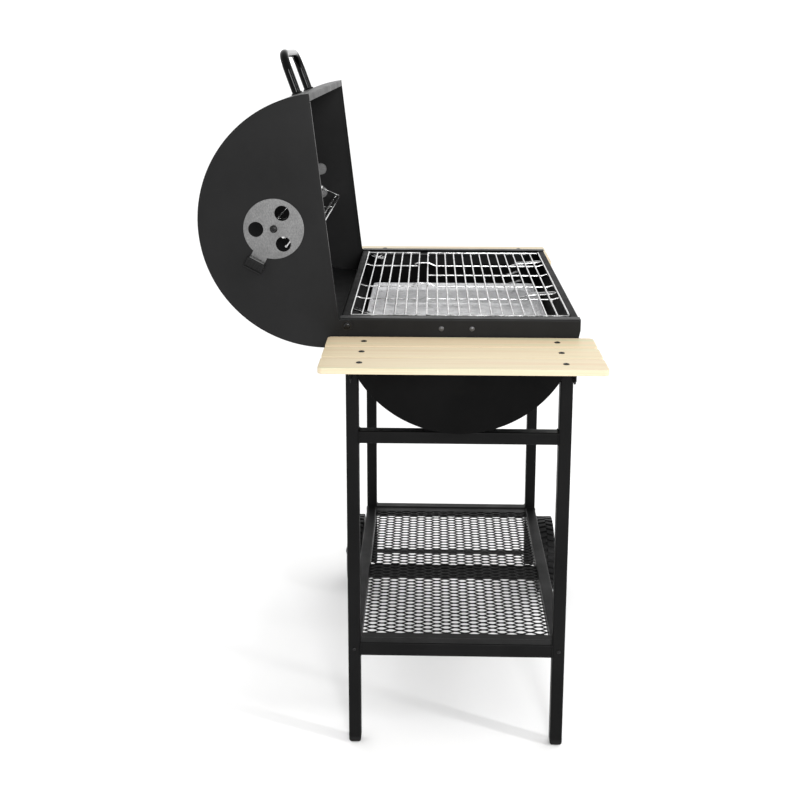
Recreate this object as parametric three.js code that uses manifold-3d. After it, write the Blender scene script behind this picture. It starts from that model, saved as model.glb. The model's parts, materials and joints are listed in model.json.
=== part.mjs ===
// Barrel charcoal grill on a wheeled stand, shown with its lid open.
// Millimetres. +X is to the right of the cook, +Y is behind the grill, +Z is up.
// The barrel's axis runs along X. Left and right, front and back are the cook's.

import * as THREE from 'three';
import { mergeVertices } from 'three/addons/utils/BufferGeometryUtils.js';
import Module from 'manifold-3d';

const wasm = await Module();
wasm.setup();

// ---------------------------------------------------------------- driving dimensions

const RIM_Z = 800;              // height of the bowl's rim above the ground
const BOWL_R = 200;             // outside radius of the bowl
const BARREL_HALF = 325;        // half of the barrel's length, over the rim bands
const SHEET = 1.5;              // sheet steel of the bowl and the lid
const GAP = 0.3;                // clearance between parts that touch
const ARC_STEPS = 40;           // facets of a half circle of sheet

const BAND_H = 65;              // the end bands that the side shelves bolt to
const BAND_STRAIGHT = 18;
const BAND_TAPER = 9;
const BAND_FLANGE = 20;
const SIDE_FLANGE = 12.5;         // the bowl's folded long edges

const LID_R = 211;              // outside radius of the lid
const LID_PLATE_T = 1.2;
const LID_REST = 1.0;           // the closed lid's edge above the rim
const LID_LIP = 12;             // the lid's folded edges
const LID_PLATE_LIP = 6;
const OPEN_ANGLE = THREE.MathUtils.degToRad(96.6);

const PIVOT_Y = 188.5;          // lid hinge
const PIVOT_DROP = 12;          // below the rim
const REAR_REACH = 36;          // hinge to the lid's rear edge
const EAR_R = 10;
const HINGE_BOLT_R = 3;

const VENT_HEIGHT = 86;         // centre of the air vents above the lid's edge
const VENT_HOLE_R = 12.5;
const VENT_CIRCLE_R = 29.5;
const VENT_TURN = THREE.MathUtils.degToRad(5);
const DAMPER_R = 50;
const DAMPER_T = 1.0;
const DAMPER_CLOSED = THREE.MathUtils.degToRad(-60);

const HANDLE_ANGLE = THREE.MathUtils.degToRad(13);
const HANDLE_SPAN = 190;
const HANDLE_REACH = 82;
const HANDLE_TUBE_R = 8;
const HANDLE_BEND_R = 26;

const TUBE = 22;                // square tube of the stand
const TUBE_WALL = 1.2;
const LEG_X = 300;
const LEG_Y = 182;
const CROSS_RAIL_DROP = 214;    // rim to the middle of the upper cross rails
const SHELF_TOP = 200;          // top of the lower shelf's frame
const SHELF_RAIL_H = 25;
const MESH_T = 3;
const FOOT_H = 12;

const WHEEL_R = 84;
const WHEEL_W = 38;
const WHEEL_CLEAR = 6;
const AXLE_R = 5;

const PLANK_W = 60;
const PLANK_L = 440;
const PLANK_T = 10;
const PLANK_GAP = 2.5;
const PLANK_COUNT = 3;
const SHELF_DROP = 30;          // rim to the top of the side shelves
const ARM_Y = 172;
const ARM_LEG = 20;

const GRATE_HALF_X = 288;
const GRATE_HALF_Y = 186;
const GRATE_SPLIT_Y = 64.5;     // between the wide front grate and the narrow back one
const GRATE_SPLIT_GAP = 15;
const GRATE_WIRE = 3.4;
const GRATE_CROSS_WIRE = 3;
const GRATE_PITCH = 18.43;
const GRATE_TOP_DROP = 2;

const TRAY_HALF_X = 298;
const TRAY_HALF_Y = 175.2;
const TRAY_DROP = 93;
const TRAY_WALL = 20;

const RACK_PIVOT = { y: 292, rise: 137 };   // with the lid open, from the bowl's axis and rim
const RACK_HANG = 20;
const RACK_FRONT = 43;
const RACK_ROWS = [0, 9, 38, 66, 94];       // wires along X, measured back from the front one
const RACK_CROSS = [-160, 0, 160];
const RACK_HALF_X = 314;
const RACK_WIRE = 4;
const RACK_CROSS_WIRE = 2.6;

// ---------------------------------------------------------------- materials

const satinBlack = () => new THREE.MeshStandardMaterial({ color: 0x2c2c2e, roughness: 0.5, metalness: 0.25 });
const frameBlack = () => new THREE.MeshStandardMaterial({ color: 0x1b1b1c, roughness: 0.45, metalness: 0.25 });
const gripBlack = () => new THREE.MeshStandardMaterial({ color: 0x0d0d0e, roughness: 0.15, metalness: 0.6 });
const plasticBlack = () => new THREE.MeshStandardMaterial({ color: 0x151515, roughness: 0.55, metalness: 0 });
const boltBlack = () => new THREE.MeshStandardMaterial({ color: 0x101010, roughness: 0.4, metalness: 0.6 });
const steel = () => new THREE.MeshStandardMaterial({ color: 0x9a9a9a, roughness: 0.35, metalness: 0.9 });
const chrome = () => new THREE.MeshStandardMaterial({ color: 0xe6e6e6, roughness: 0.12, metalness: 1 });
const zinc = () => new THREE.MeshStandardMaterial({ color: 0xcfcfcf, roughness: 0.4, metalness: 0.8 });
const pine = () => new THREE.MeshStandardMaterial({ color: 0xe8d3a6, roughness: 0.6, metalness: 0 });

// ---------------------------------------------------------------- shapes

const ALONG_X = new THREE.Matrix4().makeBasis(
  new THREE.Vector3(0, 1, 0), new THREE.Vector3(0, 0, 1), new THREE.Vector3(1, 0, 0));
const ALONG_Y = new THREE.Matrix4().makeBasis(
  new THREE.Vector3(1, 0, 0), new THREE.Vector3(0, 0, 1), new THREE.Vector3(0, -1, 0));

// A block between two corners.
function block(x0, x1, y0, y1, z0, z1) {
  const geometry = new THREE.BoxGeometry(Math.abs(x1 - x0), Math.abs(y1 - y0), Math.abs(z1 - z0));
  return geometry.translate((x0 + x1) / 2, (y0 + y1) / 2, (z0 + z1) / 2);
}

function extrude(shape, length, curveSegments) {
  return new THREE.ExtrudeGeometry(shape, { depth: length, bevelEnabled: false, curveSegments });
}

// A (y, z) outline drawn out along X.
function alongX(shape, x0, x1, curveSegments = 12) {
  const low = Math.min(x0, x1);
  return extrude(shape, Math.abs(x1 - x0), curveSegments).applyMatrix4(ALONG_X).translate(low, 0, 0);
}

// An (x, z) outline drawn out along Y.
function alongY(shape, y0, y1, curveSegments = 12) {
  const high = Math.max(y0, y1);
  return extrude(shape, Math.abs(y1 - y0), curveSegments).applyMatrix4(ALONG_Y).translate(0, high, 0);
}

// An (x, y) outline drawn out along Z.
function alongZ(shape, z0, z1, curveSegments = 12) {
  return extrude(shape, z1 - z0, curveSegments).translate(0, 0, z0);
}

function rodX(radius, x0, x1, y, z, sides = 12) {
  const rod = new THREE.CylinderGeometry(radius, radius, Math.abs(x1 - x0), sides).rotateZ(Math.PI / 2);
  return rod.translate((x0 + x1) / 2, y, z);
}

function rodY(radius, y0, y1, x, z, sides = 12) {
  const rod = new THREE.CylinderGeometry(radius, radius, Math.abs(y1 - y0), sides);
  return rod.translate(x, (y0 + y1) / 2, z);
}

// A round stepped part turned about X: pairs of [distance along X, radius], ends on the axis.
function turnedX(steps, direction, sides = 12) {
  const points = [new THREE.Vector2(0, steps[0][0])];
  steps.forEach(([along, radius]) => points.push(new THREE.Vector2(radius, along)));
  points.push(new THREE.Vector2(0, steps[steps.length - 1][0]));
  return new THREE.LatheGeometry(points, sides).rotateZ(direction > 0 ? -Math.PI / 2 : Math.PI / 2);
}

function roundedRectangle(width, height, radius) {
  const x = width / 2;
  const y = height / 2;
  const shape = new THREE.Shape();
  shape.moveTo(-x + radius, -y);
  shape.lineTo(x - radius, -y);
  shape.absarc(x - radius, -y + radius, radius, -Math.PI / 2, 0, false);
  shape.lineTo(x, y - radius);
  shape.absarc(x - radius, y - radius, radius, 0, Math.PI / 2, false);
  shape.lineTo(-x + radius, y);
  shape.absarc(-x + radius, y - radius, radius, Math.PI / 2, Math.PI, false);
  shape.lineTo(-x, -y + radius);
  shape.absarc(-x + radius, -y + radius, radius, Math.PI, 1.5 * Math.PI, false);
  return shape;
}

// The section of a rectangular tube, open at both ends.
function tubeSection(width, height) {
  const shape = roundedRectangle(width, height, 2.5);
  const inner = roundedRectangle(width - 2 * TUBE_WALL, height - 2 * TUBE_WALL, 1.3);
  shape.holes.push(inner);
  return shape;
}

const tubeX = (width, height, x0, x1, y, z) =>
  alongX(tubeSection(width, height), x0, x1, 2).translate(0, y, z);
const tubeY = (width, height, y0, y1, x, z) =>
  alongY(tubeSection(width, height), y0, y1, 2).translate(x, 0, z);
const tubeZ = (width, height, z0, z1, x, y) =>
  alongZ(tubeSection(width, height), z0, z1, 2).translate(x, y, 0);

// ---------------------------------------------------------------- joining and cutting

function solidOf(geometry) {
  const bare = geometry.clone();
  bare.deleteAttribute('normal');
  bare.deleteAttribute('uv');
  const merged = mergeVertices(bare, 1e-4);
  return new wasm.Manifold(new wasm.Mesh({
    numProp: 3,
    vertProperties: new Float32Array(merged.attributes.position.array),
    triVerts: new Uint32Array(merged.index.array),
  }));
}

function geometryOf(solid) {
  const mesh = solid.getMesh();
  const geometry = new THREE.BufferGeometry();
  geometry.setAttribute('position', new THREE.BufferAttribute(new Float32Array(mesh.vertProperties), 3));
  geometry.setIndex(new THREE.BufferAttribute(new Uint32Array(mesh.triVerts), 1));
  geometry.computeVertexNormals();
  return geometry;
}

const join = (...parts) => geometryOf(parts.map(solidOf).reduce((whole, part) => whole.add(part)));
const cut = (body, ...tools) =>
  geometryOf(tools.map(solidOf).reduce((whole, tool) => whole.subtract(tool), solidOf(body)));

// ---------------------------------------------------------------- the group

const grill = new THREE.Group();

function part(name, geometry, material, group = grill) {
  const mesh = new THREE.Mesh(geometry, material);
  mesh.name = name;
  group.add(mesh);
  return mesh;
}

const ENDS = [['left', -1], ['right', 1]];
const SIDES = [['front', -1], ['back', 1]];

// ---------------------------------------------------------------- bowl

// A half tube of sheet, open on its flat side, with folded-in edges of the given widths.
// The flat side is at z = 0 and the arc is on the side that sign gives. Edges lie at +-radius in y.
function halfTubeSection(radius, sign, frontFold, backFold) {
  const shape = new THREE.Shape();
  const point = (r, angle) => [-r * Math.cos(angle), sign * r * Math.sin(angle)];
  const inner = radius - SHEET;
  const foldEdge = sign * SHEET;
  const innerStart = Math.asin(SHEET / inner);
  shape.moveTo(-radius, 0);
  for (let i = 1; i <= ARC_STEPS; i += 1) shape.lineTo(...point(radius, (Math.PI * i) / ARC_STEPS));
  shape.lineTo(radius - backFold, 0);
  shape.lineTo(radius - backFold, foldEdge);
  for (let i = ARC_STEPS; i >= 0; i -= 1) {
    const angle = innerStart + ((Math.PI - 2 * innerStart) * i) / ARC_STEPS;
    shape.lineTo(...point(inner, angle));
  }
  shape.lineTo(-radius + frontFold, foldEdge);
  shape.lineTo(-radius + frontFold, 0);
  shape.closePath();
  return shape;
}

function halfDisc(radius, sign) {
  const shape = new THREE.Shape();
  shape.moveTo(-radius, 0);
  for (let i = 1; i <= ARC_STEPS; i += 1) {
    const angle = (Math.PI * i) / ARC_STEPS;
    shape.lineTo(-radius * Math.cos(angle), sign * radius * Math.sin(angle));
  }
  shape.closePath();
  return shape;
}

const PIVOT_Z = RIM_Z - PIVOT_DROP;
const hingeHole = (end) =>
  rodX(HINGE_BOLT_R + GAP, end * (BARREL_HALF - 40), end * (BARREL_HALF + 10), PIVOT_Y, PIVOT_Z);
const bandInner = BARREL_HALF - SHEET;                   // inner face of the end bands
const bowlEndOuter = bandInner - GAP;
const bowlEndInner = bowlEndOuter - SHEET;
const shellHalf = bowlEndInner - GAP;
const shellTop = RIM_Z - SHEET - GAP;

// An end band: as wide as the bowl at the rim, narrowing below it as the bowl does.
function bandOutline() {
  const outline = [
    [-BOWL_R, 0], [-BOWL_R, -BAND_STRAIGHT], [-BOWL_R + BAND_TAPER, -BAND_H],
    [BOWL_R - BAND_TAPER, -BAND_H], [BOWL_R, -BAND_STRAIGHT], [BOWL_R, 0],
  ];
  return new THREE.Shape(outline.map(([y, z]) => new THREE.Vector2(y, z)));
}

function makeBowl() {
  const section = halfTubeSection(BOWL_R, -1, SIDE_FLANGE, SIDE_FLANGE);
  part('bowl_shell', alongX(section, -shellHalf, shellHalf).translate(0, 0, shellTop), satinBlack());

  ENDS.forEach(([name, end]) => {
    const plate = alongX(halfDisc(BOWL_R, -1), end * bowlEndInner, end * bowlEndOuter)
      .translate(0, 0, shellTop);
    part(`bowl_end_${name}`, cut(plate, hingeHole(end)), satinBlack());

    const leaf = alongX(bandOutline(), end * bandInner, end * BARREL_HALF).translate(0, 0, RIM_Z);
    const flange = block(end * (BARREL_HALF - BAND_FLANGE), end * (bandInner + SHEET / 2),
      -BOWL_R, BOWL_R, RIM_Z - SHEET, RIM_Z);
    part(`rim_band_${name}`, cut(join(leaf, flange), hingeHole(end)), satinBlack());

    const bolt = turnedX([
      [bowlEndInner - GAP - 5, 5.2], [bowlEndInner - GAP, 5.2], [bowlEndInner - GAP, HINGE_BOLT_R],
      [BARREL_HALF + 1.3 + LID_PLATE_T + GAP, HINGE_BOLT_R],
      [BARREL_HALF + 1.3 + LID_PLATE_T + GAP, 6], [BARREL_HALF + 1.3 + LID_PLATE_T + GAP + 2.4, 6],
      [BARREL_HALF + 1.3 + LID_PLATE_T + GAP + 3.8, 4],
    ], end);
    part(`hinge_bolt_${name}`, bolt.translate(0, PIVOT_Y, PIVOT_Z), boltBlack());

    const supportOuter = bowlEndInner - GAP;
    const seatTop = RIM_Z - GRATE_TOP_DROP - GRATE_WIRE - GAP;
    const seat = block(end * supportOuter, end * (supportOuter - 42), -160, 160, seatTop - SHEET, seatTop);
    const back = block(end * supportOuter, end * (supportOuter - SHEET), -160, 160,
      RIM_Z - 34, seatTop - SHEET / 2);
    part(`grate_support_${name}`, join(seat, back), satinBlack());
  });
}

// ---------------------------------------------------------------- grates and tray

// Wires along X between two end wires and on top of cross wires, all welded into one.
function wireGrate(yLow, yHigh, crossPlaces) {
  const top = RIM_Z - GRATE_TOP_DROP;
  const wires = Math.round((yHigh - yLow - GRATE_WIRE) / GRATE_PITCH);
  const pitch = (yHigh - yLow - GRATE_WIRE) / wires;
  const bars = [];
  for (let i = 0; i <= wires; i += 1) {
    const y = yLow + pitch * i;
    bars.push(block(-GRATE_HALF_X, GRATE_HALF_X, y, y + GRATE_WIRE, top - GRATE_WIRE, top));
  }
  [-GRATE_HALF_X, GRATE_HALF_X - GRATE_WIRE].forEach((x) => {
    bars.push(block(x, x + GRATE_WIRE, yLow, yHigh, top - GRATE_WIRE, top));
  });
  const crossTop = top - GRATE_WIRE + 0.5;
  const half = GRATE_CROSS_WIRE / 2;
  crossPlaces.forEach((x) => {
    bars.push(block(x - half, x + half, yLow + 0.5, yHigh - 0.5, crossTop - GRATE_CROSS_WIRE, crossTop));
  });
  return join(...bars);
}

function makeGrates() {
  const shared = [-0.52, -0.155, 0.54].map((share) => share * GRATE_HALF_X);
  const frontEdge = GRATE_SPLIT_Y - GRATE_SPLIT_GAP / 2;
  const backEdge = GRATE_SPLIT_Y + GRATE_SPLIT_GAP / 2;
  part('cooking_grate_front',
    wireGrate(-GRATE_HALF_Y, frontEdge, [...shared, 0.21 * GRATE_HALF_X]), chrome());
  part('cooking_grate_back', wireGrate(backEdge, GRATE_HALF_Y, shared), chrome());
}

function makeTray() {
  const z0 = RIM_Z - TRAY_DROP;
  const whole = block(-TRAY_HALF_X, TRAY_HALF_X, -TRAY_HALF_Y, TRAY_HALF_Y, z0, z0 + TRAY_WALL);
  const hollow = block(-TRAY_HALF_X + SHEET, TRAY_HALF_X - SHEET, -TRAY_HALF_Y + SHEET,
    TRAY_HALF_Y - SHEET, z0 + SHEET, z0 + TRAY_WALL + 5);
  part('charcoal_tray', cut(whole, hollow), zinc());
}

// ---------------------------------------------------------------- stand

const wheelInner = LEG_Y + TUBE / 2 + WHEEL_CLEAR;
const wheelOuter = wheelInner + WHEEL_W;

function makeLegs() {
  const bowl = rodX(BOWL_R + GAP, -BARREL_HALF, BARREL_HALF, 0, shellTop, 2 * ARC_STEPS);
  ENDS.forEach(([endName, end]) => {
    SIDES.forEach(([sideName, side]) => {
      const bottom = end < 0 ? FOOT_H + GAP : WHEEL_R - 24;
      const tube = tubeZ(TUBE, TUBE, bottom, RIM_Z - 60, end * LEG_X, side * LEG_Y);
      const axleHole = rodY(AXLE_R + GAP, side * (LEG_Y - 20), side * (LEG_Y + 20), end * LEG_X, WHEEL_R);
      const tools = end < 0 ? [bowl] : [bowl, axleHole];
      part(`leg_${endName}_${sideName}`, cut(tube, ...tools), frameBlack());
    });
  });
}

function makeFeet() {
  const half = TUBE / 2;
  const radius = 7;
  const plugHalf = half - TUBE_WALL - 0.8;
  const profile = new THREE.Shape();
  profile.moveTo(-half + radius, 0);
  profile.lineTo(half - radius, 0);
  profile.absarc(half - radius, radius, radius, -Math.PI / 2, 0, false);
  profile.lineTo(half, FOOT_H);
  profile.lineTo(-half, FOOT_H);
  profile.absarc(-half + radius, radius, radius, Math.PI, 1.5 * Math.PI, false);
  SIDES.forEach(([name, side]) => {
    const cap = alongX(profile, -half, half, 5);
    const plug = block(-plugHalf, plugHalf, -plugHalf, plugHalf, FOOT_H - 1, FOOT_H + 14);
    part(`foot_cap_${name}`, join(cap, plug).translate(-LEG_X, side * LEG_Y, 0), plasticBlack());
  });
}

function makeRails() {
  const betweenLegs = LEG_Y - TUBE / 2 - GAP;
  const railX = LEG_X - TUBE / 2 - GAP;
  ENDS.forEach(([name, end]) => {
    part(`cross_rail_${name}`,
      tubeY(TUBE, TUBE, -betweenLegs, betweenLegs, end * LEG_X, RIM_Z - CROSS_RAIL_DROP), frameBlack());
    part(`shelf_rail_${name}`, tubeY(TUBE, SHELF_RAIL_H, -betweenLegs, betweenLegs, end * LEG_X,
      SHELF_TOP - SHELF_RAIL_H / 2), frameBlack());
  });
  SIDES.forEach(([name, side]) => {
    part(`shelf_rail_${name}`,
      tubeX(TUBE, SHELF_RAIL_H, -railX, railX, side * LEG_Y, SHELF_TOP - SHELF_RAIL_H / 2), frameBlack());
  });
  const meshTop = SHELF_TOP - 2;
  part('mesh_shelf', block(-railX, railX, -betweenLegs, betweenLegs, meshTop - MESH_T, meshTop), frameBlack());
  part('shelf_rail_middle', tubeY(TUBE, TUBE, -betweenLegs, betweenLegs, 0,
    meshTop - MESH_T - GAP - TUBE / 2), frameBlack());
}

function makeWheels() {
  part('axle', rodY(AXLE_R, -wheelOuter - 6.5, wheelOuter + 6.5, LEG_X, WHEEL_R), boltBlack());
  const bore = AXLE_R + GAP;
  const halfWidth = WHEEL_W / 2;
  const profile = [
    [bore, -halfWidth - 2], [15, -halfWidth - 2], [16, -4], [64, -4], [66, -halfWidth + 1],
    [77, -halfWidth], [WHEEL_R, -halfWidth + 7], [WHEEL_R, halfWidth - 7], [77, halfWidth],
    [66, halfWidth - 1], [64, 4], [16, 4], [15, halfWidth + 2], [bore, halfWidth + 2],
    [bore, -halfWidth - 2],
  ].map(([r, y]) => new THREE.Vector2(r, y));
  SIDES.forEach(([name, side]) => {
    const wheelY = side * (wheelInner + halfWidth);
    const wheel = new THREE.LatheGeometry(profile, 32).translate(LEG_X, wheelY, WHEEL_R);
    part(`wheel_${name}`, wheel, plasticBlack());
    const cap = [[AXLE_R + GAP, 0], [11, 0], [10, 2.6], [AXLE_R + GAP, 3.4], [AXLE_R + GAP, 0]]
      .map(([r, y]) => new THREE.Vector2(r, y));
    const nut = new THREE.LatheGeometry(cap, 16);
    if (side < 0) nut.rotateX(Math.PI);
    part(`axle_cap_${name}`, nut.translate(LEG_X, side * (wheelOuter + 2 + GAP), WHEEL_R), boltBlack());
  });
}

// ---------------------------------------------------------------- side shelves

function makeShelves() {
  const plankTop = RIM_Z - SHELF_DROP;
  const plankBottom = plankTop - PLANK_T;
  const firstPlank = BARREL_HALF + 5;
  const armEnd = firstPlank + PLANK_COUNT * PLANK_W + (PLANK_COUNT - 1) * PLANK_GAP - 12;
  const armTop = plankBottom - GAP;
  const armStart = BARREL_HALF + GAP;
  ENDS.forEach(([endName, end]) => {
    for (let i = 0; i < PLANK_COUNT; i += 1) {
      const centre = firstPlank + PLANK_W / 2 + i * (PLANK_W + PLANK_GAP);
      const outline = roundedRectangle(PLANK_W, PLANK_L, 7);
      const plank = alongZ(outline, plankBottom, plankTop, 4).translate(end * centre, 0, 0);
      part(`plank_${endName}_${i + 1}`, plank, pine());
    }
    SIDES.forEach(([sideName, side]) => {
      const flat = block(end * armStart, end * armEnd, side * (ARM_Y - ARM_LEG), side * ARM_Y,
        armTop - 2, armTop);
      const web = block(end * armStart, end * armEnd, side * (ARM_Y - 2), side * ARM_Y,
        armTop - ARM_LEG, armTop - 1);
      const foot = block(end * armStart, end * (armStart + 2), side * (ARM_Y - ARM_LEG), side * ARM_Y,
        armTop - ARM_LEG, armTop - 1);
      part(`shelf_arm_${endName}_${sideName}`, join(flat, web, foot), frameBlack());
    });
  });
}

// ---------------------------------------------------------------- lid

const lidPlateInner = BARREL_HALF + 1.3;
const lidPlateOuter = lidPlateInner + LID_PLATE_T;
const lidShellHalf = lidPlateInner - GAP;

// Lid parts are drawn closed, from the lid's own axis on the plane of its edge, in this group.
const lid = new THREE.Group();
const LID_CENTRE_Y = PIVOT_Y + REAR_REACH - LID_R;
const PIVOT_BELOW_EDGE = PIVOT_DROP + LID_REST;
const pivotInLid = new THREE.Vector2(PIVOT_Y - LID_CENTRE_Y, -PIVOT_BELOW_EDGE);
const lidClosed = new THREE.Group();
lidClosed.position.set(0, -pivotInLid.x, -pivotInLid.y);
lid.position.set(0, PIVOT_Y, PIVOT_Z);
lid.rotation.x = -OPEN_ANGLE;
lid.add(lidClosed);
grill.add(lid);

function ventCentres(turned = 0) {
  return [90, 210, 330].map((degrees) => {
    const angle = THREE.MathUtils.degToRad(degrees) + VENT_TURN + turned;
    return [VENT_CIRCLE_R * Math.cos(angle), VENT_CIRCLE_R * Math.sin(angle)];
  });
}

function roundHole(y, z, radius) {
  const hole = new THREE.Path();
  hole.absarc(y, z, radius, 0, 2 * Math.PI, false);
  return hole;
}

// A half disc with a hinge ear below its straight edge and three vent holes.
function lidPlateOutline() {
  const shape = new THREE.Shape();
  const ear = pivotInLid;
  shape.moveTo(-LID_R, 0);
  shape.lineTo(ear.x - EAR_R, 0);
  shape.lineTo(ear.x - EAR_R, ear.y);
  shape.absarc(ear.x, ear.y, EAR_R, Math.PI, 2 * Math.PI, false);
  shape.lineTo(ear.x + EAR_R, 0);
  for (let i = ARC_STEPS; i >= 1; i -= 1) {
    const angle = (Math.PI * i) / ARC_STEPS;
    shape.lineTo(-LID_R * Math.cos(angle), LID_R * Math.sin(angle));
  }
  shape.closePath();
  shape.holes.push(roundHole(ear.x, ear.y, HINGE_BOLT_R + GAP));
  ventCentres().forEach(([y, z]) => shape.holes.push(roundHole(y, VENT_HEIGHT + z, VENT_HOLE_R)));
  shape.holes.push(roundHole(0, VENT_HEIGHT, 3 + GAP));
  return shape;
}

function makeLid() {
  const section = halfTubeSection(LID_R, 1, LID_LIP, LID_LIP);
  part('lid_shell', alongX(section, -lidShellHalf, lidShellHalf), satinBlack(), lidClosed);
  ENDS.forEach(([name, end]) => {
    const plate = alongX(lidPlateOutline(), end * lidPlateInner, end * lidPlateOuter, 10);
    const lip = block(end * (lidPlateInner - LID_PLATE_LIP), end * (lidPlateInner + LID_PLATE_T / 2),
      -LID_R + LID_LIP + 1, pivotInLid.x - EAR_R - 6, 0, LID_PLATE_T);
    part(`lid_end_${name}`, join(plate, lip), satinBlack(), lidClosed);
  });
}

// A round tube bent to a square-shouldered U that stands out of the lid's skin.
function makeHandle() {
  const half = HANDLE_SPAN / 2;
  const top = HANDLE_REACH - HANDLE_TUBE_R;
  const bend = HANDLE_BEND_R;
  const at = (x, z) => new THREE.Vector3(x, 0, z);
  const points = [at(-half, 0), at(-half, (top - bend) / 2)];
  const turn = 6;
  for (let i = 0; i <= turn; i += 1) {
    const angle = Math.PI - (Math.PI / 2) * (i / turn);
    points.push(at(-half + bend + bend * Math.cos(angle), top - bend + bend * Math.sin(angle)));
  }
  for (let i = 0; i <= turn; i += 1) {
    const angle = Math.PI / 2 - (Math.PI / 2) * (i / turn);
    points.push(at(half - bend + bend * Math.cos(angle), top - bend + bend * Math.sin(angle)));
  }
  points.push(at(half, (top - bend) / 2), at(half, 0));

  const section = new THREE.Shape();
  section.absarc(0, 0, HANDLE_TUBE_R, 0, 2 * Math.PI, false);
  const bent = new THREE.CatmullRomCurve3(points, false, 'centripetal');
  const geometry = new THREE.ExtrudeGeometry(section, { steps: 32, extrudePath: bent, curveSegments: 6 });
  const skin = LID_R * Math.cos(Math.PI / (2 * ARC_STEPS));
  const outward = new THREE.Group();
  outward.rotation.x = Math.PI / 2 - HANDLE_ANGLE;
  lidClosed.add(outward);
  part('lid_handle', geometry.translate(0, 0, skin + 1), gripBlack(), outward);
}

// At rest the left damper's holes are over the lid's vents and the right damper covers them.
function makeDampers() {
  ENDS.forEach(([name, end]) => {
    const turned = end < 0 ? 0 : DAMPER_CLOSED;
    const tabAngle = THREE.MathUtils.degToRad(30) + VENT_TURN + turned;
    const faceX = lidPlateOuter + GAP;
    const disc = new THREE.Shape();
    disc.absarc(0, 0, DAMPER_R, 0, 2 * Math.PI, false);
    disc.holes.push(roundHole(0, 0, 3 + GAP));
    ventCentres(turned).forEach(([y, z]) => disc.holes.push(roundHole(y, z, VENT_HOLE_R)));
    const plate = alongX(disc, end * faceX, end * (faceX + DAMPER_T), 12);
    const tab = block(end * faceX, end * (faceX + DAMPER_T), DAMPER_R - 4, DAMPER_R + 9, -13, 13);
    const fold = block(end * (faceX + DAMPER_T / 2), end * (faceX + 9), DAMPER_R + 7.6, DAMPER_R + 9, -13, 13);
    tab.rotateX(tabAngle);
    fold.rotateX(tabAngle);
    part(`damper_${name}`, join(plate, tab, fold), steel(), lidClosed).position.z = VENT_HEIGHT;

    const grip = block(end * (faceX + 2), end * (faceX + 11), DAMPER_R + 9 + GAP, DAMPER_R + 25, -16, 16);
    part(`damper_grip_${name}`, grip.rotateX(tabAngle), plasticBlack(), lidClosed).position.z = VENT_HEIGHT;

    const boltHead = faceX + DAMPER_T + GAP;
    const bolt = turnedX([
      [lidPlateInner - 8, 5], [lidPlateInner - GAP, 5], [lidPlateInner - GAP, 3],
      [boltHead, 3], [boltHead, 6.3], [boltHead + 2.6, 6.3], [boltHead + 4, 4],
    ], end);
    part(`damper_bolt_${name}`, bolt, boltBlack(), lidClosed).position.z = VENT_HEIGHT;
  });
}

// ---------------------------------------------------------------- warming rack

// The rack hangs level from two pins on the lid's end plates, and is drawn with the lid open.
function makeRack() {
  const rackZ = RIM_Z + RACK_PIVOT.rise;
  const deckTop = -RACK_HANG + RACK_WIRE;
  const front = -RACK_FRONT;
  const back = front + RACK_ROWS[RACK_ROWS.length - 1] + RACK_WIRE;
  const bars = RACK_ROWS.map((row) => block(-RACK_HALF_X, RACK_HALF_X, front + row,
    front + row + RACK_WIRE, deckTop - RACK_WIRE, deckTop));
  const crossTop = deckTop - RACK_WIRE + 0.5;
  RACK_CROSS.forEach((x) => {
    bars.push(block(x - RACK_CROSS_WIRE / 2, x + RACK_CROSS_WIRE / 2, front + 0.5, back - 0.5,
      crossTop - RACK_CROSS_WIRE, crossTop));
  });
  const pinR = 2.5;
  ENDS.forEach(([, end]) => {
    const inner = end * (RACK_HALF_X - RACK_WIRE);
    const outer = end * RACK_HALF_X;
    const ring = new THREE.Shape();
    ring.absarc(0, 0, pinR + GAP + 3.4, 0, 2 * Math.PI, false);
    ring.holes.push(roundHole(0, 0, pinR + GAP));
    bars.push(alongX(ring, inner, outer, 6));
    [front + RACK_WIRE / 2, back - RACK_WIRE / 2].forEach((y) => {
      const foot = new THREE.Vector2(y, deckTop - RACK_WIRE / 2);
      const startR = pinR + GAP + 2;
      const length = foot.length() - startR;
      const strut = block(inner, outer, -RACK_WIRE / 2, RACK_WIRE / 2, -length / 2, length / 2);
      const angle = Math.atan2(foot.y, foot.x);
      strut.rotateX(angle - Math.PI / 2);
      const middle = startR + length / 2;
      bars.push(strut.translate(0, middle * Math.cos(angle), middle * Math.sin(angle)));
    });
  });
  part('warming_rack', join(...bars).translate(0, RACK_PIVOT.y, rackZ), chrome());

  ENDS.forEach(([name, end]) => {
    const pin = rodX(pinR, end * (lidPlateInner - GAP), end * (RACK_HALF_X - RACK_WIRE - 5),
      RACK_PIVOT.y, rackZ, 12);
    part(`rack_pin_${name}`, pin, steel());
  });
}

// ---------------------------------------------------------------- assembly

makeLegs();
makeFeet();
makeRails();
makeWheels();
makeBowl();
makeTray();
makeGrates();
makeShelves();
makeLid();
makeHandle();
makeDampers();
makeRack();

// The origin is on the ground, under the middle of the whole grill with its lid open.
const whole = new THREE.Box3().setFromObject(grill, true);
grill.position.y = -(whole.min.y + whole.max.y) / 2;

export default grill;
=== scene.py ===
"""Barrel charcoal grill on a wheeled stand: the looks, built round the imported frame.

Metres. +X is along the barrel towards the wheels, +Y is behind the grill, +Z is up.
"""

import json
import math

import bmesh
import bpy
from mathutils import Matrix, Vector
from mathutils.geometry import tessellate_polygon


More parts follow.
